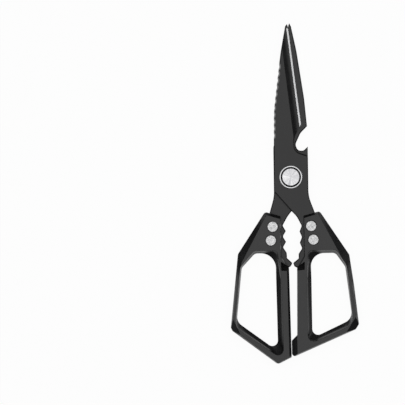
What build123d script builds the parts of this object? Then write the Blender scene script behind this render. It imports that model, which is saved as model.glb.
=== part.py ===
from build123d import *
import os
from dataclasses import dataclass

# Kitchen shears that lie flat with the tips along +Y and the front face up.
# The origin is on the pivot axis, in the plane that the shears lie on.
# The front blade runs into the right handle and the rear blade into the left one.
# Every length is in millimetres.

# Overall sizes
blade_reach = 106.3  # pivot axis to the tip
blade_half = 11.9  # pivot axis to either side of a blade
blade_thick = 3.0
handle_reach = 129.2  # pivot axis to the lowest corner of the longer loop
handle_spread = 45.0  # pivot axis to the widest point of a loop
handle_thick = 11.0
cut_overrun = 2.0  # how far a cutting body runs past what it cuts

# Levels of the two blades
blade_gap = 0.06  # running gap between the blades
rear_top = (handle_thick - blade_gap) / 2
rear_bottom = rear_top - blade_thick
front_bottom = rear_top + blade_gap
front_top = front_bottom + blade_thick

# Cutting bevels
edge_lead = 2.1  # tip to the start of the cutting edge, along the blade
polish_width = 1.15  # bright honed bevel
polish_thick = 0.85  # blade left behind the honed bevel
hollow_width = 5.9  # cutting edge to the upper border of the hollow grind
hollow_sag = 0.28  # how far the grind dips below its chord
grind_runout = 9.5  # how far the hollow runs on past the heel of the edge
edge_bevel = 0.45  # round the front of each blade

# Fish scaler on the spine of the front blade
scallop_count = 11
scallop_pitch = 4.75
scallop_start = 29.0  # pivot axis to the first scallop
scallop_radius = 3.0
scallop_depth = 0.2  # at the back of the blade
scallop_lean = 18.0  # degrees that each scallop is ground off square

# Bottle opener notch in the rear blade, and the recess that bares it
notch_base = 18.1  # pivot axis to the floor of the notch
notch_rise = 16.8  # floor of the notch to its upper corner

# Blade sides, where they flare out towards the handles
hip_drop = 13.5
hip_radius = 24.0
waist_drop = 9.7  # pivot axis to the corner on the spine side
waist_radius = 1.5

# Handle castings
facet_drop = 2.4  # height of the outer facets, front and back
waist_band = 2.4  # height of the upright band inside a loop
step_drop = 2.0  # height of the steep step between a face and the slope to the band
step_run_share = 0.27  # of the way from the mouth of a loop to its waist
slot_clearance = 0.2  # round the tang in its slot
rivet_drop_shares = (0.264, 0.337)
rivet_out_shares = (0.296, 0.327)

# Rivets
rivet_head_radius = 3.6
rivet_head_thick = 1.3
rivet_shank_radius = 2.4
rivet_clearance = 0.05
rivet_seat_ring = 0.35  # dark ring between a head and its counterbore
rivet_sink = 0.15  # top of the head below the face of the casting

# Pivot
shank_radius = 2.9
pivot_clearance = 0.05  # radial, where the blades turn on the shank
washer_gap = 0.05  # running gap between the front blade and the washer
washer_radius = 7.95
washer_bevel = 0.3
washer_rim = 1.1
washer_thick = 1.75
washer_floor = 0.7  # thickness under the screw head
dish_run = 0.5  # width of the slope inside the rim
head_radius = 6.0
head_bevel = 0.5
nut_radius = 6.8
nut_bevel = 0.5
spanner_radius = 0.9
spanner_offset = 4.7
spanner_depth = 1.2

# Nutcracker jaws
tooth_count = 3
tooth_tip_share = 0.018  # of handle_spread, like the next one
tooth_root_share = 0.032
throat_drop_share = 0.1827  # of handle_reach, pivot axis to the top of the gap


@dataclass(frozen=True)
class Jaw:
    """Teeth of one tang, in shares of handle_reach down and handle_spread out."""

    start_share: float
    pitch_share: float
    gap_share: float
    depth_share: float
    last_depth_share: float
    throat_shares: tuple[float, float, float]


front_jaw = Jaw(
    start_share=0.262,
    pitch_share=0.060,
    gap_share=0.151,
    depth_share=0.034,
    last_depth_share=0.056,
    throat_shares=(0.078, 0.2115, 0.25),
)
rear_jaw = Jaw(
    start_share=0.259,
    pitch_share=0.058,
    gap_share=0.143,
    depth_share=0.049,
    last_depth_share=0.055,
    throat_shares=(0.066, 0.2115, 0.25),
)

# Outlines are corners in order: outward share, lengthwise share, radius share.
# Outward and radius shares are of the half width or spread that a table names,
# and lengthwise shares are of its reach. A radius of zero leaves a sharp corner.

# Blades above the pivot, in shares of blade_half and blade_reach
front_spine_shares = (
    (-0.91, 0.433, 12.0),
    (-0.450, 0.810, 12.0),
    (-0.155, 0.981, 0.0),
    (-0.05, 0.995, 0.0),
)
rear_spine_shares = (
    (0.865, 0.510, 12.0),
    (0.475, 0.820, 12.0),
    (0.185, 0.979, 0.0),
    (0.09, 1.0, 0.0),
)

# Recess of the front blade and notch of the rear one, both in shares of
# blade_half and of notch_rise above notch_base
recess_shares = (
    (0.647, 1.082, 0.0),
    (0.227, 0.530, 0.84),
    (0.244, -0.030, 0.50),
    (1.017, -0.218, 0.06),
)
notch_shares = (
    (1.00, 1.000, 0.0),
    (0.605, 0.724, 0.80),
    (0.294, 0.259, 0.33),
    (0.437, 0.000, 0.26),
    (0.770, 0.000, 0.20),
    (1.017, 0.162, 0.0),
)
choil_shares = (
    (-0.98, 0.300, 0.50),
    (-0.40, 0.580, 0.25),
    (-0.40, 0.900, 0.15),
    (-0.647, 1.082, 0.0),
)

# Tangs inside the castings and the knobs that end their jaws, in shares of
# handle_spread and handle_reach
front_tang_shares = (
    (0.424, 0.255, 0.30),
    (0.490, 0.372, 0.0),
    (0.220, 0.392, 0.0),
    (0.207, 0.446, 0.02),
    (0.073, 0.487, 0.0),
)
front_knob_shares = (
    (0.028, 0.478, 0.018),
    (0.008, 0.460, 0.024),
    (0.095, 0.436, 0.015),
)
rear_tang_shares = (
    (0.394, 0.255, 0.30),
    (0.470, 0.371, 0.0),
    (0.200, 0.391, 0.0),
    (0.190, 0.444, 0.02),
    (0.062, 0.485, 0.0),
)
rear_knob_shares = (
    (0.028, 0.476, 0.018),
    (0.003, 0.460, 0.024),
    (0.084, 0.433, 0.015),
)

# Widest outline of each casting, and the sharp corners of its face and back, in
# shares of handle_spread and handle_reach
right_silhouette_shares = (
    (0.431, 0.185, 0.050),
    (0.873, 0.421, 0.060),
    (0.938, 0.588, 0.0),
    (1.000, 0.794, 0.030),
    (0.950, 0.821, 0.030),
    (-0.038, 0.966, 0.045),
    (-0.038, 0.875, 0.0),
    (0.047, 0.845, 0.0),
    (0.066, 0.489, 0.0),
    (0.180, 0.423, 0.0),
    (0.180, 0.208, 0.0),
)
right_face_shares = (
    (0.407, 0.199),
    (0.800, 0.464),
    (0.900, 0.588),
    (0.953, 0.755),
    (0.803, 0.836),
    (0.049, 0.946),
    (0.049, 0.848),
    (0.0575, 0.845),
    (0.074, 0.495),
    (0.189, 0.425),
    (0.189, 0.221),
)
left_silhouette_shares = (
    (0.409, 0.183, 0.050),
    (0.838, 0.407, 0.060),
    (0.893, 0.573, 0.0),
    (0.969, 0.799, 0.018),
    (0.945, 0.817, 0.018),
    (0.256, 1.000, 0.065),
    (0.043, 0.964, 0.027),
    (0.056, 0.488, 0.0),
    (0.171, 0.423, 0.0),
    (0.171, 0.209, 0.0),
)
left_face_shares = (
    (0.389, 0.200),
    (0.778, 0.451),
    (0.864, 0.573),
    (0.933, 0.755),
    (0.821, 0.839),
    (0.251, 0.9945),
    (0.076, 0.965),
    (0.087, 0.498),
    (0.182, 0.426),
    (0.182, 0.223),
)

# Finger loops, at the waist of their wall and at the face of the casting
right_waist_shares = (
    (0.278, 0.410, 0.200),
    (0.658, 0.410, 0.090),
    (0.807, 0.485, 0.110),
    (0.900, 0.765, 0.165),
    (0.281, 0.864, 0.090),
    (0.284, 0.542, 0.0),
)
right_mouth_shares = (
    (0.244, 0.394, 0.060),
    (0.673, 0.394, 0.090),
    (0.829, 0.480, 0.110),
    (0.915, 0.795, 0.165),
    (0.211, 0.898, 0.090),
    (0.213, 0.542, 0.0),
)
left_waist_shares = (
    (0.258, 0.405, 0.230),
    (0.576, 0.405, 0.090),
    (0.783, 0.481, 0.090),
    (0.876, 0.768, 0.155),
    (0.250, 0.931, 0.085),
    (0.258, 0.542, 0.0),
)
left_mouth_shares = (
    (0.231, 0.392, 0.060),
    (0.590, 0.392, 0.090),
    (0.803, 0.477, 0.090),
    (0.901, 0.797, 0.155),
    (0.164, 0.980, 0.085),
    (0.176, 0.542, 0.0),
)

# Relief at the end of each tang slot, in the same shares
right_relief_shares = ((0.064, 0.484), (0.185, 0.455), (0.182, 0.496), (0.064, 0.501))
left_relief_shares = ((0.052, 0.482), (0.178, 0.453), (0.176, 0.499), (0.052, 0.503))


def scaled(shares, width, height, base=0.0):
    """Corners in millimetres from a table of shares."""
    return [(x * width, base + y * height, r * width) for x, y, r in shares]


def hung(shares, side):
    """Corners below the pivot, on the right for side 1 and on the left for side -1."""
    spread = handle_spread
    return [(side * x * spread, -y * handle_reach, r * spread) for x, y, r in shares]


def outline(corners):
    """Flat face inside the given corners, each one rounded to its own radius."""
    points = [(x, y) for x, y, _ in corners]
    radii = [r for _, _, r in corners]
    return make_face(FilletPolyline(*points, radius=radii, close=True))


def sharp(shares, side):
    """Flat face below the pivot with a sharp corner for each row of a table."""
    corners = [(side * row[0] * handle_spread, -row[1] * handle_reach) for row in shares]
    return make_face(Polyline(*corners, close=True))


def at_level(face, level):
    """The same face at another height."""
    return Pos(0, 0, level) * face


def jaw_corners(jaw, side):
    """Teeth of one jaw in order from the knob up to the throat."""
    shares = []
    for tooth in reversed(range(tooth_count)):
        last = tooth == tooth_count - 1
        depth = jaw.last_depth_share if last else jaw.depth_share
        valley = jaw.start_share + tooth * jaw.pitch_share
        peak = valley + jaw.pitch_share / 2
        shares.append((jaw.gap_share - depth, peak, tooth_tip_share))
        shares.append((jaw.gap_share, valley, tooth_root_share))
    shares.append(jaw.throat_shares)
    shares.append((0, throat_drop_share, 0))
    return hung(shares, side)


def hip(side):
    """Corner where the side of a blade turns outwards above its tang."""
    return side * blade_half, -hip_drop, hip_radius


def waist(side):
    """Corner under the spine, where a blade crosses over to its own handle."""
    return side * blade_half, -waist_drop, waist_radius


def front_blade_corners():
    """Outline of the front blade, clockwise from the start of its cutting edge."""
    corners = [(0, blade_reach - edge_lead, 0)]
    corners += scaled(recess_shares, blade_half, notch_rise, notch_base)
    corners.append(hip(1))
    corners += hung(front_tang_shares + front_knob_shares, 1)
    corners += jaw_corners(front_jaw, 1)
    corners.append(waist(-1))
    return corners + scaled(front_spine_shares, blade_half, blade_reach)


def rear_blade_corners():
    """Outline of the rear blade, anticlockwise from the start of its cutting edge."""
    corners = [(0, blade_reach - edge_lead, 0)]
    corners += reversed(scaled(choil_shares, blade_half, notch_rise, notch_base))
    corners.append(hip(-1))
    corners += hung(rear_tang_shares + rear_knob_shares, -1)
    corners += jaw_corners(rear_jaw, -1)
    corners.append(waist(1))
    corners += reversed(scaled(notch_shares, blade_half, notch_rise, notch_base))
    return corners + scaled(rear_spine_shares, blade_half, blade_reach)


def grind(side):
    """Body to cut from a blade that faces up: honed bevel and hollow above it."""
    heel_share, heel_rise, _ = recess_shares[0]
    heel = Vector(side * heel_share * blade_half, notch_base + heel_rise * notch_rise)
    start = Vector(0, blade_reach - edge_lead)
    along = (heel - start).normalized()
    inward = Vector(along.Y, -along.X) * side
    section = Plane(origin=start - along * hollow_width, x_dir=inward, z_dir=along)
    up = side * section.y_dir.Z
    honed = (polish_width, up * polish_thick)
    crest = (hollow_width, up * blade_thick)
    middle = ((honed[0] + crest[0]) / 2, (honed[1] + crest[1]) / 2 - up * hollow_sag)
    over = crest[1] + up * cut_overrun
    profile = make_face(
        Line((0, 0), honed)
        + ThreePointArc(honed, middle, crest)
        + Line(crest, (hollow_width, over))
        + Line((hollow_width, over), (-cut_overrun, over))
        + Line((-cut_overrun, over), (-cut_overrun, 0))
        + Line((-cut_overrun, 0), (0, 0))
    )
    run = (heel - start).length + hollow_width + grind_runout
    return extrude(section * profile, run)


def spine_out(height):
    """Outward place of the front blade's spine at a height above the pivot."""
    corners = [waist(-1)] + scaled(front_spine_shares, blade_half, blade_reach)
    for (x_low, y_low, _), (x_high, y_high, _) in zip(corners, corners[1:]):
        if y_low <= height <= y_high:
            return x_low + (x_high - x_low) * (height - y_low) / (y_high - y_low)
    return corners[-1][0]


def scallops():
    """Leaning cylinders that scallop the front blade's spine into a fish scaler."""
    cutters = []
    for number in range(scallop_count):
        height = scallop_start + number * scallop_pitch
        out = spine_out(height) - scallop_radius + scallop_depth
        cutter = Cylinder(scallop_radius, handle_thick)
        cutters.append(Pos(out, height, front_bottom) * Rot(0, scallop_lean, 0) * cutter)
    return cutters


def upright(radius, bottom, top, x=0, y=0):
    """Round body that stands between two levels."""
    align = (Align.CENTER, Align.CENTER, Align.MIN)
    return Pos(x, y, bottom) * Cylinder(radius, top - bottom, align=align)


def rivet_places(side):
    """Centres of the two rivets of one handle, upper one first."""
    return [
        (side * out * handle_spread, -drop * handle_reach)
        for out, drop in zip(rivet_out_shares, rivet_drop_shares)
    ]


def drilled(blade, side):
    """A blade with its pivot bore and the two rivet holes of its tang."""
    holes = [upright(shank_radius + pivot_clearance, -cut_overrun, handle_thick)]
    hole_radius = rivet_shank_radius + rivet_clearance
    for x, y in rivet_places(side):
        holes.append(upright(hole_radius, -cut_overrun, handle_thick, x, y))
    return blade - holes


def stamped(corners, bottom):
    """Flat steel blank inside the given corners, bevelled all round its front."""
    blank = extrude(at_level(outline(corners), bottom), blade_thick)
    return chamfer(blank.edges().group_by(Axis.Z)[-1], edge_bevel)


def front_blade():
    """Blade nearer the eye, with the fish scaler on its spine."""
    blade = stamped(front_blade_corners(), front_bottom) - scallops()
    blade -= at_level(grind(1), front_bottom)
    return drilled(blade, 1)


def rear_blade():
    """Blade behind, with the bottle opener in its spine."""
    blade = stamped(rear_blade_corners(), rear_bottom)
    blade -= at_level(grind(-1), rear_top)
    return drilled(blade, -1)


def part_way(first, last, share):
    """Table whose rows lie a share of the way between those of two tables."""
    return [
        [a + (b - a) * share for a, b in zip(first_row, last_row)]
        for first_row, last_row in zip(first, last)
    ]


def loop_cutter(waist_shares, mouth_shares, side):
    """Body of a finger loop, narrowest at the middle of the casting."""
    middle = handle_thick / 2
    narrow = outline(hung(waist_shares, side))
    step = outline(hung(part_way(mouth_shares, waist_shares, step_run_share), side))
    mouth = outline(hung(mouth_shares, side))
    sections = [
        at_level(mouth, -cut_overrun),
        at_level(mouth, 0),
        at_level(step, step_drop),
        at_level(narrow, middle - waist_band / 2),
        at_level(narrow, middle + waist_band / 2),
        at_level(step, handle_thick - step_drop),
        at_level(mouth, handle_thick),
        at_level(mouth, handle_thick + cut_overrun),
    ]
    return loft(sections, ruled=True)


def slot_cutter(tang_shares, side, level):
    """Body of the slot that takes a tang, open towards the jaws and the blade."""
    tang = hung(tang_shares, side)
    inner_end = (0, tang[-1][1], 0)
    corners = [(0, 0, 0), (side * blade_half, 0, 0), hip(side)] + tang + [inner_end]
    room = offset(outline(corners), slot_clearance, kind=Kind.INTERSECTION)
    return extrude(at_level(room, level), blade_thick)


def casting(silhouette_shares, face_shares, side):
    """Facetted body of a handle before its loop, slot and holes are cut."""
    widest = sharp(silhouette_shares, side)
    face = sharp(face_shares, side)
    sections = [
        at_level(face, 0),
        at_level(widest, facet_drop),
        at_level(widest, handle_thick - facet_drop),
        at_level(face, handle_thick),
    ]
    rounded = extrude(outline(hung(silhouette_shares, side)), handle_thick)
    return rounded & loft(sections, ruled=True)


def relief_cutter(shares, side, level):
    """Body of the relief at the end of a slot, open to the front."""
    return extrude(at_level(sharp(shares, side), level), handle_thick - level + cut_overrun)


def rivet_cutters(side):
    """Through holes and counterbores for the rivets of one handle."""
    cutters = []
    hole_radius = rivet_shank_radius + rivet_clearance
    seat_radius = rivet_head_radius + rivet_seat_ring
    seat_depth = rivet_sink + rivet_head_thick
    top = handle_thick + cut_overrun
    for x, y in rivet_places(side):
        cutters.append(upright(hole_radius, -cut_overrun, top, x, y))
        cutters.append(upright(seat_radius, -cut_overrun, seat_depth, x, y))
        cutters.append(upright(seat_radius, handle_thick - seat_depth, top, x, y))
    return cutters


def right_handle():
    """Handle of the front blade, with the stop that meets the other handle."""
    body = casting(right_silhouette_shares, right_face_shares, 1)
    body -= loop_cutter(right_waist_shares, right_mouth_shares, 1)
    body -= slot_cutter(front_tang_shares, 1, front_bottom)
    body -= relief_cutter(right_relief_shares, 1, front_bottom)
    return body - rivet_cutters(1)


def left_handle():
    """Handle of the rear blade, with the longer loop."""
    body = casting(left_silhouette_shares, left_face_shares, -1)
    body -= loop_cutter(left_waist_shares, left_mouth_shares, -1)
    body -= slot_cutter(rear_tang_shares, -1, rear_bottom)
    body -= relief_cutter(left_relief_shares, -1, rear_bottom)
    return body - rivet_cutters(-1)


def turned(corners):
    """Solid of revolution about the upright axis, from corners given as (out, up)."""
    profile = make_face(Polyline(*corners, close=True))
    return revolve(Plane.XZ * profile, Axis.Z)


def rivet():
    """One peened rivet, with a flat head at each end."""
    low_face = rivet_sink
    high_face = handle_thick - rivet_sink
    shank = upright(rivet_shank_radius, low_face, high_face)
    low_head = upright(rivet_head_radius, low_face, low_face + rivet_head_thick)
    high_head = upright(rivet_head_radius, high_face - rivet_head_thick, high_face)
    return shank + low_head + high_head


def pivot_screw():
    """Disc headed screw that both blades turn on."""
    seat = front_top + washer_gap + washer_floor
    corners = (
        (0, 0),
        (shank_radius, 0),
        (shank_radius, seat),
        (head_radius, seat),
        (head_radius, handle_thick - head_bevel),
        (head_radius - head_bevel, handle_thick),
        (0, handle_thick),
    )
    return turned(corners)


def pivot_washer():
    """Dished washer round the screw head, with a raised rim."""
    bottom = front_top + washer_gap
    floor = bottom + washer_floor
    top = bottom + washer_thick
    bore = shank_radius + pivot_clearance
    rim = washer_radius - washer_rim
    corners = (
        (bore, bottom),
        (washer_radius, bottom),
        (washer_radius, top - washer_bevel),
        (washer_radius - washer_bevel, top),
        (rim, top),
        (rim - dish_run, floor),
        (bore, floor),
    )
    return turned(corners)


def pivot_nut():
    """Round nut behind the rear blade, with two holes for a pin spanner."""
    nut = upright(nut_radius, 0, rear_bottom)
    nut = chamfer(nut.edges().filter_by(GeomType.CIRCLE).group_by(Axis.Z)[0], nut_bevel)
    nut -= upright(shank_radius + pivot_clearance, -cut_overrun, rear_bottom + cut_overrun)
    for side in (-1, 1):
        nut -= upright(spanner_radius, -cut_overrun, spanner_depth, side * spanner_offset)
    return nut


def main():
    """Build every piece and write one STEP file for each."""
    pieces = {
        "front_blade": front_blade(),
        "rear_blade": rear_blade(),
        "right_handle": right_handle(),
        "left_handle": left_handle(),
        "pivot_screw": pivot_screw(),
        "pivot_washer": pivot_washer(),
        "pivot_nut": pivot_nut(),
    }
    for side, name in ((1, "right"), (-1, "left")):
        for place, (x, y) in zip(("upper", "lower"), rivet_places(side)):
            pieces[f"{name}_rivet_{place}"] = Pos(x, y, 0) * rivet()
    os.makedirs("parts", exist_ok=True)
    for name, piece in pieces.items():
        export_step(piece, f"parts/{name}.step")


main()
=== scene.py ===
"""Looks of a pair of kitchen shears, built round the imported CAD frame.

The shears lie on their backs with the tips along +Y, the pivot on the Z axis
and the front face up. Lengths in the classes are millimetres, apart from those of
the lamps, and the scene is in metres.
"""

import logging
import math
from dataclasses import dataclass
from enum import Enum
from typing import Iterable

import bmesh
import bpy
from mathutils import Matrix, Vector, noise

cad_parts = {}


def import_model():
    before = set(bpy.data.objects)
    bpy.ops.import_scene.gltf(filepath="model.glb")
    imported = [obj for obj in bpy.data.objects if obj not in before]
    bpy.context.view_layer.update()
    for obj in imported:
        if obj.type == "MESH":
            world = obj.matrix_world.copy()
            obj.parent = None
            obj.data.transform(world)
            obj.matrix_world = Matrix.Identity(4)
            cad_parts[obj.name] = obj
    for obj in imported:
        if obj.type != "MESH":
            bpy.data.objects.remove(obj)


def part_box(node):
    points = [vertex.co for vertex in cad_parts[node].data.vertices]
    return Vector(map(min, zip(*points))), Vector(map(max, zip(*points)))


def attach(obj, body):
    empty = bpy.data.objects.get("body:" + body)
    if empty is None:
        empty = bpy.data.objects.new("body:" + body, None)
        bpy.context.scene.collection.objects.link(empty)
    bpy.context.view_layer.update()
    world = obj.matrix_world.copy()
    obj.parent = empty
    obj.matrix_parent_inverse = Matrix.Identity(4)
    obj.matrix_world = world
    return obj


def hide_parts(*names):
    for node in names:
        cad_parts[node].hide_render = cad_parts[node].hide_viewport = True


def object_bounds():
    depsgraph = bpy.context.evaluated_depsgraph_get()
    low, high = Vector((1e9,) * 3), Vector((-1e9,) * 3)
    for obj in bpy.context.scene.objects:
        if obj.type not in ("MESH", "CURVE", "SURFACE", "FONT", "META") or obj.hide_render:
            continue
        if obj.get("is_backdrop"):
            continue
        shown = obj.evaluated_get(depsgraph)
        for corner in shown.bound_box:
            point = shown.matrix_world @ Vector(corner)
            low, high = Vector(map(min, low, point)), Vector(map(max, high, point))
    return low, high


LOG = logging.getLogger("shears")
MM = 0.001
WELD = 0.002  # millimetres within which two corners are one
SAME = 0.01  # millimetres within which two heights are taken as one
LEVEL = 0.1  # millimetres within which a face lies at a level of the CAD
FLAT_UP = 0.99  # upward share of the normal of a face that lies flat
LOOKS_UP = 0.1  # and of one that slopes, but isn't upright
NOISE_LOW, NOISE_HIGH = 0.3, 0.7  # values between which a noise texture mostly lies

Point = tuple[float, float, float]
Profile = list[tuple[float, float]]


class Body(Enum):
    """The two halves that turn about the pivot."""

    REAR = "rear_half"
    FRONT = "front_half"


class Slot(Enum):
    """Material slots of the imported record."""

    BLADE = "blade_steel"
    HANDLE = "handle_casting"
    RIVET = "rivet_steel"
    PIVOT = "pivot_steel"


class Lay(Enum):
    """Directions in which a tool leaves its marks on bare steel."""

    ALONG_EDGE = "along_edge"
    AROUND_PIVOT = "around_pivot"
    HAMMERED = "hammered"


def linear(hex_code: str) -> tuple[float, float, float, float]:
    """Turn an sRGB hex colour into linear RGBA.

    Args:
        hex_code: Six hex digits after a hash sign.

    Returns:
        The linear red, green and blue, and an alpha of one.
    """
    channels = [int(hex_code[i : i + 2], 16) / 255 for i in (1, 3, 5)]
    curve = [c / 12.92 if c <= 0.04045 else ((c + 0.055) / 1.055) ** 2.4 for c in channels]
    return curve[0], curve[1], curve[2], 1.0


def per_metre(size_mm: float) -> float:
    """Give a texture scale whose cells are about this many millimetres wide."""
    return 1 / (size_mm * MM)


def add_node(
    tree: bpy.types.NodeTree,
    kind: str,
    inputs: dict | None = None,
    settings: dict | None = None,
    stops: dict[float, str] | None = None,
) -> bpy.types.Node:
    """Add a shader node with its settings, values and links.

    Args:
        tree: Node tree that takes the node.
        kind: Blender's type name of the node.
        inputs: Value or output socket for each input, by name or number.
        settings: Values of the node's own properties.
        stops: Position and sRGB hex colour of the two ends of a colour ramp.

    Returns:
        The new node.
    """
    node = tree.nodes.new(kind)
    for key, value in (settings or {}).items():
        setattr(node, key, value)
    for key, value in (inputs or {}).items():
        if isinstance(value, bpy.types.NodeSocket):
            tree.links.new(value, node.inputs[key])
        else:
            node.inputs[key].default_value = value
    for number, (position, hex_code) in enumerate((stops or {}).items()):
        node.color_ramp.elements[number].position = position
        node.color_ramp.elements[number].color = linear(hex_code)
    return node


def new_material(name: str) -> tuple[bpy.types.Material, bpy.types.NodeTree]:
    """Make an empty node material.

    Args:
        name: Name of the finish.

    Returns:
        The material and its empty node tree.
    """
    material = bpy.data.materials.new(name)
    material.use_nodes = True
    material.node_tree.nodes.clear()
    return material, material.node_tree


def close_material(
    tree: bpy.types.NodeTree, inputs: dict, bump: bpy.types.NodeSocket | None = None
) -> None:
    """Add the Principled shader and the output of a finish.

    Args:
        tree: Node tree of the finish.
        inputs: Values and sockets of the shader.
        bump: Normal that the shader takes, if any.
    """
    if bump is not None:
        inputs = inputs | {"Normal": bump}
    shader = add_node(tree, "ShaderNodeBsdfPrincipled", inputs)
    add_node(tree, "ShaderNodeOutputMaterial", {"Surface": shader.outputs["BSDF"]})


@dataclass(frozen=True)
class Finish:
    """What every finish has: two tones of one colour and a roughness."""

    name: str
    dark_hex: str
    light_hex: str
    roughness: float
    roughness_swing: float

    def vary(
        self, tree: bpy.types.NodeTree, tone: bpy.types.NodeSocket, low: float, high: float
    ) -> dict:
        """Let the colour and the roughness follow a noise.

        Args:
            tree: Node tree of the finish.
            tone: Noise that is followed.
            low: Value of the noise up to which the dark tone reaches.
            high: Value from which the light tone is full.

        Returns:
            The shader's inputs for colour and roughness.
        """
        stops = {low: self.dark_hex, high: self.light_hex}
        colour = add_node(tree, "ShaderNodeValToRGB", {"Fac": tone}, stops=stops)
        limits = {
            "Value": tone,
            "From Min": NOISE_LOW,
            "From Max": NOISE_HIGH,
            "To Min": self.roughness - self.roughness_swing,
            "To Max": self.roughness + self.roughness_swing,
        }
        rough = add_node(tree, "ShaderNodeMapRange", limits)
        return {"Base Color": colour.outputs["Color"], "Roughness": rough.outputs["Result"]}


@dataclass(frozen=True)
class SatinCoating(Finish):
    """Satin black coating, sprayed and baked on steel or on a die casting.

    The eye sees a deep neutral black that turns dark grey where it faces the
    light, with a very fine orange peel that softens the reflections.
    """

    peel_mm: float  # orange peel and blasting under the coating
    peel_height_mm: float
    cloud_mm: float = 14.0  # slow change in gloss from the spray gun
    ior: float = 1.45

    def build(self) -> bpy.types.Material:
        """Build the node material."""
        material, tree = new_material(self.name)
        place = add_node(tree, "ShaderNodeTexCoord").outputs["Object"]
        fine = {"Vector": place, "Scale": per_metre(self.peel_mm), "Detail": 2.0}
        peel = add_node(tree, "ShaderNodeTexNoise", fine).outputs["Fac"]
        slow = {"Vector": place, "Scale": per_metre(self.cloud_mm), "Detail": 3.0}
        cloud = add_node(tree, "ShaderNodeTexNoise", slow).outputs["Fac"]
        relief = {"Height": peel, "Distance": self.peel_height_mm * MM, "Strength": 1.0}
        bump = add_node(tree, "ShaderNodeBump", relief).outputs["Normal"]
        inputs = self.vary(tree, cloud, NOISE_LOW, NOISE_HIGH)
        close_material(tree, inputs | {"IOR": self.ior}, bump)
        return material


@dataclass(frozen=True)
class BareSteel(Finish):
    """Uncoated steel, shiny and brighter than the coating beside it.

    The tool's marks break its reflections: long scratches along a honed edge,
    circles on a turned face, and small dimples on a hammered rivet.
    """

    lay: Lay
    mark_mm: float
    mark_height_mm: float
    anisotropy: float = 0.0
    across_lay: float = 0.25  # turn that spreads a highlight across the marks
    scratch_stretch: float = 25.0  # how much longer than wide a scratch is
    sheen_sectors: float = 0.0  # how fast the painted bright and dark sectors change round a turned face
    sheen_sector_share: float = 0.7
    tone_low: float = 0.35
    tone_high: float = 0.65

    def pattern(self, tree: bpy.types.NodeTree) -> bpy.types.NodeSocket:
        """Draw the tool marks of this finish.

        Args:
            tree: Node tree of the finish.

        Returns:
            A value that follows the marks.
        """
        place = add_node(tree, "ShaderNodeTexCoord").outputs["Object"]
        marks = {"Vector": place, "Scale": per_metre(self.mark_mm), "Detail": 2.0}
        if self.lay is Lay.HAMMERED:
            marks |= {"Detail": 4.0, "Roughness": 0.65}
        elif self.lay is Lay.AROUND_PIVOT:
            length = {"operation": "LENGTH"}
            radius = add_node(tree, "ShaderNodeVectorMath", {0: place}, length)
            line = add_node(tree, "ShaderNodeCombineXYZ", {"X": radius.outputs["Value"]})
            marks["Vector"] = line.outputs["Vector"]
        else:
            squeeze = {"Vector": place, "Scale": (1, 1 / self.scratch_stretch, 1)}
            marks["Vector"] = add_node(tree, "ShaderNodeMapping", squeeze).outputs["Vector"]
        return add_node(tree, "ShaderNodeTexNoise", marks).outputs["Fac"]

    def tone(
        self, tree: bpy.types.NodeTree, marks: bpy.types.NodeSocket
    ) -> bpy.types.NodeSocket:
        """Mix painted bright and dark sectors round a turned face into its marks.

        Args:
            tree: Node tree of the finish.
            marks: Value that follows the tool marks.

        Returns:
            A value for the colour and the roughness.
        """
        if not self.sheen_sectors:
            return marks
        # Painted reflection: a noise by angle round the axis lightens and darkens sectors of the
        # colour and of the roughness.
        place = add_node(tree, "ShaderNodeTexCoord").outputs["Object"]
        level = {0: place, 1: (1, 1, 0)}
        flat = add_node(tree, "ShaderNodeVectorMath", level, {"operation": "MULTIPLY"})
        around = {0: flat.outputs["Vector"]}
        spoke = add_node(tree, "ShaderNodeVectorMath", around, {"operation": "NORMALIZE"})
        sheen_cells = {"Vector": spoke.outputs["Vector"], "Scale": self.sheen_sectors, "Detail": 1.0}
        painted_sheen = add_node(tree, "ShaderNodeTexNoise", sheen_cells).outputs["Fac"]
        both = {"Factor": self.sheen_sector_share, "A": marks, "B": painted_sheen}
        return add_node(tree, "ShaderNodeMix", both).outputs["Result"]

    def build(self) -> bpy.types.Material:
        """Build the node material."""
        material, tree = new_material(self.name)
        marks = self.pattern(tree)
        relief = {"Height": marks, "Distance": self.mark_height_mm * MM, "Strength": 1.0}
        bump = add_node(tree, "ShaderNodeBump", relief).outputs["Normal"]
        # The colour follows the marks that the bump follows; on the hammered rivets this is
        # painted shade in the pits and painted sparkle on the crests.
        inputs = self.vary(tree, self.tone(tree, marks), self.tone_low, self.tone_high) | {
            "Metallic": 1.0,
            "Anisotropic": self.anisotropy,
            "Anisotropic Rotation": self.across_lay,
        }
        if self.lay is Lay.AROUND_PIVOT:
            around = {"direction_type": "RADIAL", "axis": "Z"}
            tangent = add_node(tree, "ShaderNodeTangent", settings=around)
            inputs["Tangent"] = tangent.outputs["Tangent"]
        close_material(tree, inputs, bump)
        return material


# Tool steel hardened and sprayed with a satin black coating, baked hard: it
# reads as dark grey on the flats and almost black where it turns from the light.
BLADE_COAT = SatinCoating(
    name="baked_black_coating_on_tool_steel",
    dark_hex="#111112",
    light_hex="#141415",
    roughness=0.28,
    roughness_swing=0.03,
    peel_mm=0.30,
    peel_height_mm=0.002,
    ior=1.41,
)

# Zinc die casting, blasted and powder coated satin black: slightly lighter and
# softer than the blades, with a grain that just shows on the flats.
CASTING_COAT = SatinCoating(
    name="powder_coated_zinc_die_casting",
    dark_hex="#121213",
    light_hex="#161617",
    roughness=0.32,
    roughness_swing=0.04,
    peel_mm=0.45,
    peel_height_mm=0.006,
)

# The same casting in the slot and the relief behind the jaws, left dull as it came out
# of the die; its darker black is painted shade in these recesses.
DULL_CASTING_PAINTED_SHADE = SatinCoating(
    name="dull_casting_with_painted_recess_shade",
    dark_hex="#0b0b0c",
    light_hex="#0e0e0f",
    roughness=0.88,
    roughness_swing=0.06,
    peel_mm=0.6,
    peel_height_mm=0.02,
)

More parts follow.
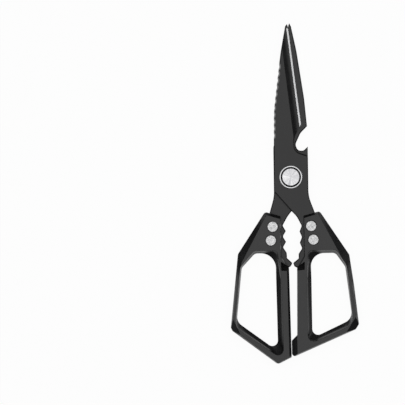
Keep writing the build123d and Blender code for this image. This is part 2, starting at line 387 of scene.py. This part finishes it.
# Hardened steel ground and honed bright along the cutting edge. Its scratches are
# drawn about five times as coarse as the real ones, so that they show.
HONED_STEEL = BareSteel(
    name="honed_cutting_edge_steel",
    dark_hex="#c4c5c7",
    light_hex="#e0e0e0",
    roughness=0.30,
    roughness_swing=0.05,
    lay=Lay.ALONG_EDGE,
    mark_mm=0.25,
    mark_height_mm=0.004,
)

# Mild steel rivets, hammered over: a field of small dimples, as wide as those of a
# real hammer. The colour is darker in the dimples' pits and lighter on their crests:
# painted shade and painted sparkle.
PEENED_STEEL = BareSteel(
    name="hammered_rivet_steel",
    dark_hex="#858687",
    light_hex="#d0d0d0",
    roughness=0.34,
    roughness_swing=0.06,
    lay=Lay.HAMMERED,
    mark_mm=0.7,
    mark_height_mm=0.02,
)

# Stainless screw and nut, faced on a lathe: fine circles that spread the light
# outwards. The bright and dark sectors round the face are painted reflection in its
# colour. The circles are drawn twice as coarse as the real feed of the tool, so that they show.
TURNED_STEEL = BareSteel(
    name="turned_stainless_steel",
    dark_hex="#a9a9ad",
    light_hex="#ececec",
    roughness=0.36,
    roughness_swing=0.04,
    lay=Lay.AROUND_PIVOT,
    mark_mm=0.22,
    mark_height_mm=0.002,
    anisotropy=0.9,
    sheen_sectors=2.2,
)

# Stainless washer, pressed and tumbled smooth: bright on the crest of its rim. The
# dark in the dish round the screw is painted shade, from the finish below.
PRESSED_STEEL = BareSteel(
    name="pressed_stainless_steel",
    dark_hex="#b4b5b7",
    light_hex="#c9c9c9",
    roughness=0.20,
    roughness_swing=0.03,
    lay=Lay.AROUND_PIVOT,
    mark_mm=0.30,
    mark_height_mm=0.001,
)

# The same washer in the dish round the screw: duller steel, and darker in colour as
# painted shade in the deep, narrow groove.
DISH_SHADE_STEEL = BareSteel(
    name="stainless_steel_with_painted_dish_shade",
    dark_hex="#303031",
    light_hex="#4a4a4b",
    roughness=0.50,
    roughness_swing=0.06,
    lay=Lay.AROUND_PIVOT,
    mark_mm=0.30,
    mark_height_mm=0.002,
)


def new_object(name: str, points: Iterable[Point], faces: Iterable[tuple]) -> bpy.types.Object:
    """Make a mesh object from points in metres.

    Args:
        name: Name of the piece.
        points: Corners of the mesh.
        faces: Corner numbers of each face.

    Returns:
        The new object, in the scene's collection.
    """
    mesh = bpy.data.meshes.new(name)
    mesh.from_pydata(list(points), [], list(faces))
    mesh.update()
    piece = bpy.data.objects.new(name, mesh)
    bpy.context.scene.collection.objects.link(piece)
    return piece


@dataclass(frozen=True)
class EdgeFinish:
    """Roundings and chamfers that tumbling, grinding and coating leave on a piece."""

    rounding: float = 0.0
    steps: int = 2
    sharpest: float = 24.0  # degrees of turn that stay unrounded
    joined: float = WELD  # corners closer than this become one
    neighbour_share: float = 0.45  # of the next edge that a rounding may take up
    kept_sharp: tuple[float, float] = (0.0, 0.0)  # heights between which nothing is rounded
    chamfer: float = 0.0  # depth of the CAD chamfer that is drawn further in
    chamfer_more: float = 0.0
    crease: float = 38.0  # degrees of turn from which an edge is shaded sharp

    def widen_chamfer(self, work: bmesh.types.BMesh) -> None:
        """Draw the chamfer round the front of a plate further in.

        Args:
            work: Mesh of the plate, with its flat areas as single faces.
        """
        top = max(vertex.co.z for vertex in work.verts)
        depth = self.chamfer * MM
        moves = []
        for vertex in work.verts:
            if vertex.co.z < top - SAME * MM:
                continue
            for edge in vertex.link_edges:
                step = vertex.co - edge.other_vert(vertex).co
                run = math.hypot(step.x, step.y)
                if abs(step.z - depth) < 2 * SAME * MM and run < 2 * depth:
                    inward = Vector((step.x, step.y, 0)) * self.chamfer_more / self.chamfer
                    moves.append((vertex, inward))
                    break
        for vertex, inward in moves:
            vertex.co += inward

    def takes(self, edge: bmesh.types.BMEdge) -> bool:
        """Tell whether an edge is an outer one that the finishing reaches.

        Args:
            edge: Edge of the piece.

        Returns:
            Whether it is rounded.
        """
        heights = [vertex.co.z / MM for vertex in edge.verts]
        hidden = min(heights) > self.kept_sharp[0] and max(heights) < self.kept_sharp[1]
        turn = edge.calc_face_angle(0)
        return edge.is_convex and turn > math.radians(self.sharpest) and not hidden

    def mark(self, work: bmesh.types.BMesh) -> None:
        """Mark each outer edge with the share of the rounding that it has room for.

        Args:
            work: Mesh of the piece, with its flat areas as single faces.
        """
        if self.chamfer:
            self.widen_chamfer(work)
        if not self.rounding:
            return
        weight = work.edges.layers.float.new("bevel_weight_edge")
        for edge in filter(self.takes, work.edges):
            others = [o for v in edge.verts for o in v.link_edges if o is not edge]
            room = min(other.calc_length() for other in others) * self.neighbour_share
            edge[weight] = min(1.0, room / (self.rounding * MM))

    def round(self, piece: bpy.types.Object) -> None:
        """Round the marked edges of a piece and cut its faces into triangles.

        Args:
            piece: Piece whose edges are marked.
        """
        if self.rounding:
            bevel = piece.modifiers.new("edge_rounding", "BEVEL")
            bevel.width = self.rounding * MM
            bevel.segments = self.steps
            bevel.limit_method = "WEIGHT"
            bevel.use_clamp_overlap = False
            bevel.miter_outer = "MITER_ARC"
        graph = bpy.context.evaluated_depsgraph_get()
        mesh = bpy.data.meshes.new_from_object(piece.evaluated_get(graph))
        work = bmesh.new()
        work.from_mesh(mesh)
        bmesh.ops.triangulate(work, faces=work.faces)
        work.to_mesh(mesh)
        work.free()
        piece.modifiers.clear()
        piece.data = mesh
        shade_round(piece, self.crease)


def copy_solid(
    node: str, name: str, edges: EdgeFinish, flat_angle: float = 1.0
) -> bpy.types.Object:
    """Copy a CAD solid as a clean mesh with rounded edges.

    Args:
        node: CAD node to copy.
        name: Name of the new piece.
        edges: Roundings and chamfers of the piece.
        flat_angle: Faces that meet within this many degrees become one.

    Returns:
        The new piece, in the place of the node.
    """
    source = bpy.data.objects[node].data
    points = [tuple(vertex.co) for vertex in source.vertices]
    piece = new_object(name, points, [tuple(face.vertices) for face in source.polygons])
    work = bmesh.new()
    work.from_mesh(piece.data)
    bmesh.ops.remove_doubles(work, verts=work.verts, dist=WELD * MM)
    limit = math.radians(flat_angle)
    bmesh.ops.dissolve_limit(work, angle_limit=limit, verts=work.verts, edges=work.edges)
    bmesh.ops.recalc_face_normals(work, faces=work.faces)
    bmesh.ops.remove_doubles(work, verts=work.verts, dist=edges.joined * MM)
    edges.mark(work)
    work.to_mesh(piece.data)
    work.free()
    edges.round(piece)
    return piece


def shade_round(piece: bpy.types.Object, sharp_angle: float = 38.0) -> None:
    """Shade a piece smooth, but keep its flats flat and its corners crisp.

    Args:
        piece: Piece to shade.
        sharp_angle: Degrees of turn from which an edge stays crisp.
    """
    piece.data.shade_smooth()
    piece.data.set_sharp_from_angle(angle=math.radians(sharp_angle))
    weighted = piece.modifiers.new("even_shading", "WEIGHTED_NORMAL")
    weighted.keep_sharp = True


def lathe(name: str, profile: Profile, centre: Vector, sides: int) -> bpy.types.Object:
    """Turn a profile about an upright axis.

    Args:
        name: Name of the piece.
        profile: Radius and height in millimetres, from the axis out and back.
        centre: Place of the axis, in metres.
        sides: Points round the axis.

    Returns:
        The turned piece.
    """
    points: list[Point] = []
    rings: list[list[int]] = []
    for radius, height in profile:
        first = len(points)
        count = 1 if radius == 0 else sides
        for step in range(count):
            angle = math.tau * step / sides
            x = centre.x + radius * MM * math.cos(angle)
            y = centre.y + radius * MM * math.sin(angle)
            points.append((x, y, height * MM))
        rings.append([first + step % count for step in range(sides)])
    faces = []
    for low, high in zip(rings, rings[1:]):
        for step in range(sides):
            turn = (step + 1) % sides
            face = [low[step], low[turn], high[turn], high[step]]
            faces.append(tuple(dict.fromkeys(face)))
    return new_object(name, points, faces)


def settle(piece: bpy.types.Object, node: str, body: Body) -> None:
    """Let a piece stand for a CAD node.

    Args:
        piece: Piece that shows.
        node: CAD node that it replaces.
        body: Half of the shears that it turns with.
    """
    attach(piece, body.value)
    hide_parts(node)
    LOG.info("%s stands for %s", piece.name, node)


@dataclass
class Blade:
    """One coated blade with its honed cutting edge."""

    node: str
    body: Body
    side: int  # 1 where the cutting edge faces +X, -1 where it faces -X
    edges: EdgeFinish = EdgeFinish(chamfer=0.45, chamfer_more=0.24, crease=20.0)
    honed_run: float = 1.15
    honed_rise: float = 0.85
    honed_match: float = 0.98  # cosine within which a face counts as honed
    coated_tip: float = 3.0  # length at the tip where the hone leaves the coating on

    def honed_faces(self, mesh: bpy.types.Mesh) -> list[bpy.types.MeshPolygon]:
        """Find the faces of the honed bevel by the way that they face.

        Args:
            mesh: Mesh of the blade.

        Returns:
            The faces that lie on the honed bevel.
        """
        slope = math.hypot(self.honed_run, self.honed_rise)
        aim = Vector((self.side * self.honed_rise, 0, self.honed_run)) / slope
        low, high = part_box(self.node)
        ceiling = low.z + self.honed_rise * MM
        end = high.y - self.coated_tip * MM
        return [
            face
            for face in mesh.polygons
            if face.normal.dot(aim) > self.honed_match
            and face.center.z < ceiling
            and face.center.y < end
        ]

    def cut_at_tip(self, mesh: bpy.types.Mesh) -> None:
        """Cut the faces across where the honing ends.

        Args:
            mesh: Mesh of the blade.
        """
        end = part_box(self.node)[1].y - self.coated_tip * MM
        work = bmesh.new()
        work.from_mesh(mesh)
        everything = work.verts[:] + work.edges[:] + work.faces[:]
        bmesh.ops.bisect_plane(
            work, geom=everything, dist=WELD / 2 * MM, plane_co=(0, end, 0), plane_no=(0, 1, 0)
        )
        work.to_mesh(mesh)
        work.free()

    def build(self, coat: bpy.types.Material, honed: bpy.types.Material) -> bpy.types.Object:
        """Build the blade.

        Args:
            coat: Finish of the whole blade.
            honed: Finish of the cutting edge.

        Returns:
            The blade's piece.
        """
        piece = copy_solid(self.node, f"{self.node}_coated", self.edges)
        self.cut_at_tip(piece.data)
        piece.data.materials.append(coat)
        piece.data.materials.append(honed)
        for face in self.honed_faces(piece.data):
            face.material_index = 1
        settle(piece, self.node, self.body)
        return piece


@dataclass
class Handle:
    """One handle casting."""

    node: str
    body: Body
    blade: str  # node of the blade whose tang it holds
    blade_thick: float = 3.0
    rounding: float = 0.2
    joined: float = 0.2

    def build(self, coat: bpy.types.Material, recess_shade: bpy.types.Material) -> bpy.types.Object:
        """Build the handle.

        Args:
            coat: Finish of the casting.
            recess_shade: Finish of the slot and the relief, dull and darker as painted shade.

        Returns:
            The handle's piece.
        """
        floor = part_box(self.blade)[0].z / MM
        inside = (floor - LEVEL, floor + self.blade_thick + LEVEL)
        edges = EdgeFinish(rounding=self.rounding, joined=self.joined, kept_sharp=inside)
        piece = copy_solid(self.node, f"{self.node}_cast", edges)
        piece.data.materials.append(coat)
        piece.data.materials.append(recess_shade)
        # The flats at the blade's floor, in the slot and the relief, take the darker finish:
        # painted shade.
        for face in piece.data.polygons:
            if face.normal.z > FLAT_UP and abs(face.center.z / MM - floor) < LEVEL:
                face.material_index = 1
        settle(piece, self.node, self.body)
        return piece


@dataclass
class Rivet:
    """One rivet with hammered heads, front and back."""

    node: str
    body: Body
    shank_radius: float = 2.4
    head_thick: float = 1.3
    edge_round: float = 0.3
    dimple_depth: float = 0.035
    dimple_size: float = 0.8
    face_rings: int = 16
    round_steps: int = 3
    sides: int = 72

    def head_rings(self, radius: float, face: float, inward: int) -> Profile:
        """Trace a head from the middle of its face to its seat.

        Args:
            radius: Radius of the head.
            face: Height of its face.
            inward: 1 where the seat lies above the face, -1 where below.

        Returns:
            Radius and height of each ring.
        """
        flat = radius - self.edge_round
        rings = [(flat * step / self.face_rings, face) for step in range(self.face_rings + 1)]
        for step in range(1, self.round_steps + 1):
            swing = math.pi / 2 * step / self.round_steps
            out = flat + self.edge_round * math.sin(swing)
            rise = self.edge_round * (1 - math.cos(swing))
            rings.append((out, face + inward * rise))
        rings.append((radius, face + inward * self.head_thick))
        return rings

    def hammer(self, piece: bpy.types.Object, low: float, high: float) -> None:
        """Dent both faces of the rivet.

        Args:
            piece: The rivet's piece.
            low: Height of the back face, in metres.
            high: Height of the front face, in metres.
        """
        reach = self.dimple_depth * MM
        for vertex in piece.data.vertices:
            spot = vertex.co * per_metre(self.dimple_size)
            dent = (noise.noise(spot) * 0.5 + 0.5) * reach
            if vertex.co.z > high - reach:
                vertex.co.z -= dent
            elif vertex.co.z < low + reach:
                vertex.co.z += dent

    def build(self, steel: bpy.types.Material) -> bpy.types.Object:
        """Build the rivet.

        Args:
            steel: Finish of the rivet.

        Returns:
            The rivet's piece.
        """
        low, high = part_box(self.node)
        centre = (low + high) / 2
        radius = (high.x - low.x) / 2 / MM
        back = self.head_rings(radius, low.z / MM, 1)
        front = self.head_rings(radius, high.z / MM, -1)
        shank = [(self.shank_radius, back[-1][1]), (self.shank_radius, front[-1][1])]
        profile = back + shank + front[::-1]
        piece = lathe(f"{self.node}_hammered", profile, centre, self.sides)
        self.hammer(piece, low.z, high.z)
        piece.data.materials.append(steel)
        shade_round(piece)
        settle(piece, self.node, self.body)
        return piece


@dataclass
class Pivot:
    """Screw, dished washer and nut that hold the blades together."""

    body: Body = Body.REAR
    sides: int = 192
    screw_round: float = 0.3
    screw_rings: int = 12
    round_steps: int = 6
    tick_count: int = 64
    points_per_tick: int = 4
    tick_depth: float = 0.06
    tick_start: float = 0.4  # how far inside the crest the ticks begin
    rim_width: float = 1.1
    crest_steps: int = 9
    crest_share: float = 0.6  # height of the crest as a share of half its width
    floor_rise: float = 0.7
    dish_run: float = 0.8
    dish_step: float = 0.1  # the dish ends this far above the seat of the head
    bore: float = 2.95
    shank: float = 2.9
    dimple: float = 0.08  # how far the screw's face is turned hollow

    def screw(self, steel: bpy.types.Material) -> bpy.types.Object:
        """Build the disc-headed screw.

        Args:
            steel: Finish of the screw.

        Returns:
            The screw's piece.
        """
        low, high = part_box("pivot_screw")
        washer_low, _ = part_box("pivot_washer")
        radius = high.x / MM
        top = high.z / MM
        seat = washer_low.z / MM + self.floor_rise
        flat = radius - self.screw_round
        face = []
        for step in range(self.screw_rings + 1):
            share = step / self.screw_rings
            face.append((flat * share, top - self.dimple * (1 - share**2)))
        rounding = []
        for step in range(1, self.round_steps + 1):
            swing = math.pi / 2 * step / self.round_steps
            out = flat + self.screw_round * math.sin(swing)
            rounding.append((out, top - self.screw_round * (1 - math.cos(swing))))
        back = [(radius, seat), (self.shank, seat), (self.shank, low.z / MM), (0, low.z / MM)]
        profile = (face + rounding + back)[::-1]
        piece = lathe("pivot_screw_turned", profile, Vector((0, 0, 0)), self.sides)
        piece.data.materials.append(steel)
        shade_round(piece)
        settle(piece, "pivot_screw", self.body)
        return piece

    def crest(self, radius: float, top: float) -> Profile:
        """Trace the round crest of the washer's rim from the outside in.

        Args:
            radius: Radius of the washer.
            top: Height of the crest.

        Returns:
            Radius and height of each ring.
        """
        half = self.rim_width / 2
        rings = []
        for step in range(self.crest_steps + 1):
            swing = math.pi * step / self.crest_steps
            out = radius - half + half * math.cos(swing)
            rings.append((out, top - half * self.crest_share * (1 - math.sin(swing))))
        return rings

    def press_ticks(self, piece: bpy.types.Object, radius: float, top: float) -> None:
        """Press the ticks into the outer slope of the washer's crest.

        Args:
            piece: The washer's piece.
            radius: Radius of the washer.
            top: Height of the crest.
        """
        half = self.rim_width / 2
        lowest = top - half * self.crest_share
        for vertex in piece.data.vertices:
            out = math.hypot(vertex.co.x, vertex.co.y) / MM
            angle = math.atan2(vertex.co.y, vertex.co.x)
            wave = 0.5 - 0.5 * math.cos(angle * self.tick_count)
            if vertex.co.z > lowest * MM and out > radius - half - self.tick_start:
                vertex.co.z -= self.tick_depth * wave**2 * MM

    def washer(
        self, steel: bpy.types.Material, dish_shade: bpy.types.Material
    ) -> bpy.types.Object:
        """Build the dished washer, with ticks pressed into its rim.

        Args:
            steel: Finish of the washer.
            dish_shade: Finish of its dish, darker as painted shade.

        Returns:
            The washer's piece.
        """
        low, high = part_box("pivot_washer")
        radius = high.x / MM
        bottom = low.z / MM
        top = high.z / MM
        inner = radius - self.rim_width
        floor = bottom + self.floor_rise
        edge = inner - self.dish_run
        dish = [(edge, floor + self.dish_step), (edge, floor), (self.bore, floor)]
        seam = (self.bore, bottom)
        profile = [seam, (radius, bottom)] + self.crest(radius, top) + dish + [seam]
        sides = self.tick_count * self.points_per_tick
        piece = lathe("pivot_washer_pressed", profile, Vector((0, 0, 0)), sides)
        self.press_ticks(piece, radius, top)
        work = bmesh.new()
        work.from_mesh(piece.data)
        bmesh.ops.remove_doubles(work, verts=work.verts, dist=WELD * MM)
        work.to_mesh(piece.data)
        work.free()
        piece.data.materials.append(steel)
        piece.data.materials.append(dish_shade)
        # Upward faces inside the rim take the darker finish: painted shade in the dish.
        for face in piece.data.polygons:
            out = math.hypot(face.center.x, face.center.y) / MM
            if face.normal.z > LOOKS_UP and out < inner:
                face.material_index = 1
        shade_round(piece)
        settle(piece, "pivot_washer", self.body)
        return piece

    def nut(self, steel: bpy.types.Material) -> bpy.types.Object:
        """Build the round nut behind the blades.

        Args:
            steel: Finish of the nut.

        Returns:
            The nut's piece.
        """
        piece = copy_solid("pivot_nut", "pivot_nut_turned", EdgeFinish(rounding=0.1))
        piece.data.materials.append(steel)
        settle(piece, "pivot_nut", self.body)
        return piece


@dataclass(frozen=True)
class Lamp:
    """One soft lamp that looks at the pivot."""

    name: str
    place: Point  # metres
    size: tuple[float, float]  # width and length of its face, in metres
    glow: float  # brightness of its face, where 1 is white

    def hang(self) -> None:
        """Hang the lamp, out of the camera's sight."""
        data = bpy.data.lights.new(self.name, "AREA")
        data.shape = "RECTANGLE"
        data.size, data.size_y = self.size
        data.energy = self.glow * math.pi * self.size[0] * self.size[1]
        lamp = bpy.data.objects.new(self.name, data)
        lamp.visible_camera = False
        lamp.location = self.place
        lamp.rotation_euler = (-Vector(self.place)).to_track_quat("-Z", "Y").to_euler()
        bpy.context.scene.collection.objects.link(lamp)


# A large softbox that the flats mirror, and two narrow panels: one that lights the
# honed edge, and a weaker one that lifts the slopes on the other side.
LAMPS = (
    Lamp("softbox_above", (0.02, 0.02, 0.8), (1.15, 1.15), 1.5),
    Lamp("panel_right", (0.97, 0.13, 0.215), (0.42, 0.20), 2.4),
    Lamp("panel_left", (-0.86, -0.50, 0.19), (0.75, 0.26), 0.9),
)


@dataclass
class Studio:
    """Pale floor, grey walls and the camera straight above."""

    view_width: float = 279.9
    view_centre: tuple[float, float] = (-61.4, -16.3)
    roll: float = -1.19  # degrees that the shears lie turned in the picture
    camera_height: float = 2400.0
    floor_size: float = 6000.0
    floor_hex: str = "#fafafa"
    floor_roughness: float = 0.6
    backlight_share: float = 0.95  # of the floor's brightness that no shadow dims
    wall_hex: str = "#484848"

    def camera(self) -> None:
        """Set the camera straight above the middle of the picture."""
        data = bpy.data.cameras.new("camera")
        data.type = "ORTHO"
        data.ortho_scale = self.view_width * MM
        camera = bpy.data.objects.new("camera", data)
        x, y = self.view_centre
        camera.location = (x * MM, y * MM, self.camera_height * MM)
        camera.rotation_euler = (0, 0, math.radians(self.roll))
        bpy.context.scene.collection.objects.link(camera)
        bpy.context.scene.camera = camera

    def floor(self, top: float) -> bpy.types.Object:
        """Lay the floor under the shears.

        Args:
            top: Height of the floor, in metres.

        Returns:
            The floor.
        """
        half = self.floor_size / 2 * MM
        corners = [(-half, -half, top), (half, -half, top), (half, half, top), (-half, half, top)]
        floor = new_object("floor", corners, [(0, 1, 2, 3)])
        material, tree = new_material("backlit_white_acrylic")
        sheet = {"Base Color": linear(self.floor_hex), "Roughness": self.floor_roughness}
        acrylic = add_node(tree, "ShaderNodeBsdfPrincipled", sheet).outputs["BSDF"]
        glow = add_node(tree, "ShaderNodeEmission", {"Color": (1, 1, 1, 1), "Strength": 1.0})
        rays = add_node(tree, "ShaderNodeLightPath").outputs
        most = {"operation": "MAXIMUM"}
        mirrored = {0: rays["Is Glossy Ray"], 1: rays["Is Transmission Ray"]}
        beyond = add_node(tree, "ShaderNodeMath", mirrored, most).outputs["Value"]
        seen = {0: rays["Is Camera Ray"], 1: beyond}
        shown = add_node(tree, "ShaderNodeMath", seen, most).outputs["Value"]
        part = {0: shown, 1: self.backlight_share}
        factor = add_node(tree, "ShaderNodeMath", part, {"operation": "MULTIPLY"})
        both = {0: factor.outputs["Value"], 1: acrylic, 2: glow.outputs["Emission"]}
        mix = add_node(tree, "ShaderNodeMixShader", both)
        add_node(tree, "ShaderNodeOutputMaterial", {"Surface": mix.outputs["Shader"]})
        floor.data.materials.append(material)
        floor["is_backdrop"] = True
        return floor

    def world(self) -> None:
        """Surround the shears with the dim grey walls of the studio."""
        world = bpy.data.worlds.new("studio")
        world.use_nodes = True
        tree = world.node_tree
        tree.nodes.clear()
        paint = {"Color": linear(self.wall_hex), "Strength": 1.0}
        walls = add_node(tree, "ShaderNodeBackground", paint)
        add_node(tree, "ShaderNodeOutputWorld", {"Surface": walls.outputs["Background"]})
        bpy.context.scene.world = world

    def build(self, floor_top: float) -> None:
        """Build the whole studio.

        Args:
            floor_top: Height of the floor, in metres.
        """
        self.camera()
        self.floor(floor_top)
        self.world()
        for lamp in LAMPS:
            lamp.hang()
        bpy.context.scene.view_settings.view_transform = "Standard"


def main() -> None:
    """Build the studio and every piece in order."""
    logging.basicConfig(level=logging.INFO)
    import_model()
    cad_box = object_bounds()
    Studio().build(cad_box[0][2])
    blade_coat = BLADE_COAT.build()
    casting_coat = CASTING_COAT.build()
    recess_shade_casting = DULL_CASTING_PAINTED_SHADE.build()
    honed = HONED_STEEL.build()
    peened = PEENED_STEEL.build()
    turned = TURNED_STEEL.build()
    pressed = PRESSED_STEEL.build()
    dish_shade = DISH_SHADE_STEEL.build()
    Blade("front_blade", Body.FRONT, 1).build(blade_coat, honed)
    Blade("rear_blade", Body.REAR, -1).build(blade_coat, honed)
    Handle("right_handle", Body.FRONT, "front_blade").build(casting_coat, recess_shade_casting)
    Handle("left_handle", Body.REAR, "rear_blade").build(casting_coat, recess_shade_casting)
    for side, body in (("right", Body.FRONT), ("left", Body.REAR)):
        for place in ("upper", "lower"):
            Rivet(f"{side}_rivet_{place}", body).build(peened)
    pivot = Pivot()
    pivot.screw(turned)
    pivot.washer(pressed, dish_shade)
    pivot.nut(turned)


if __name__ == "__main__":
    main()
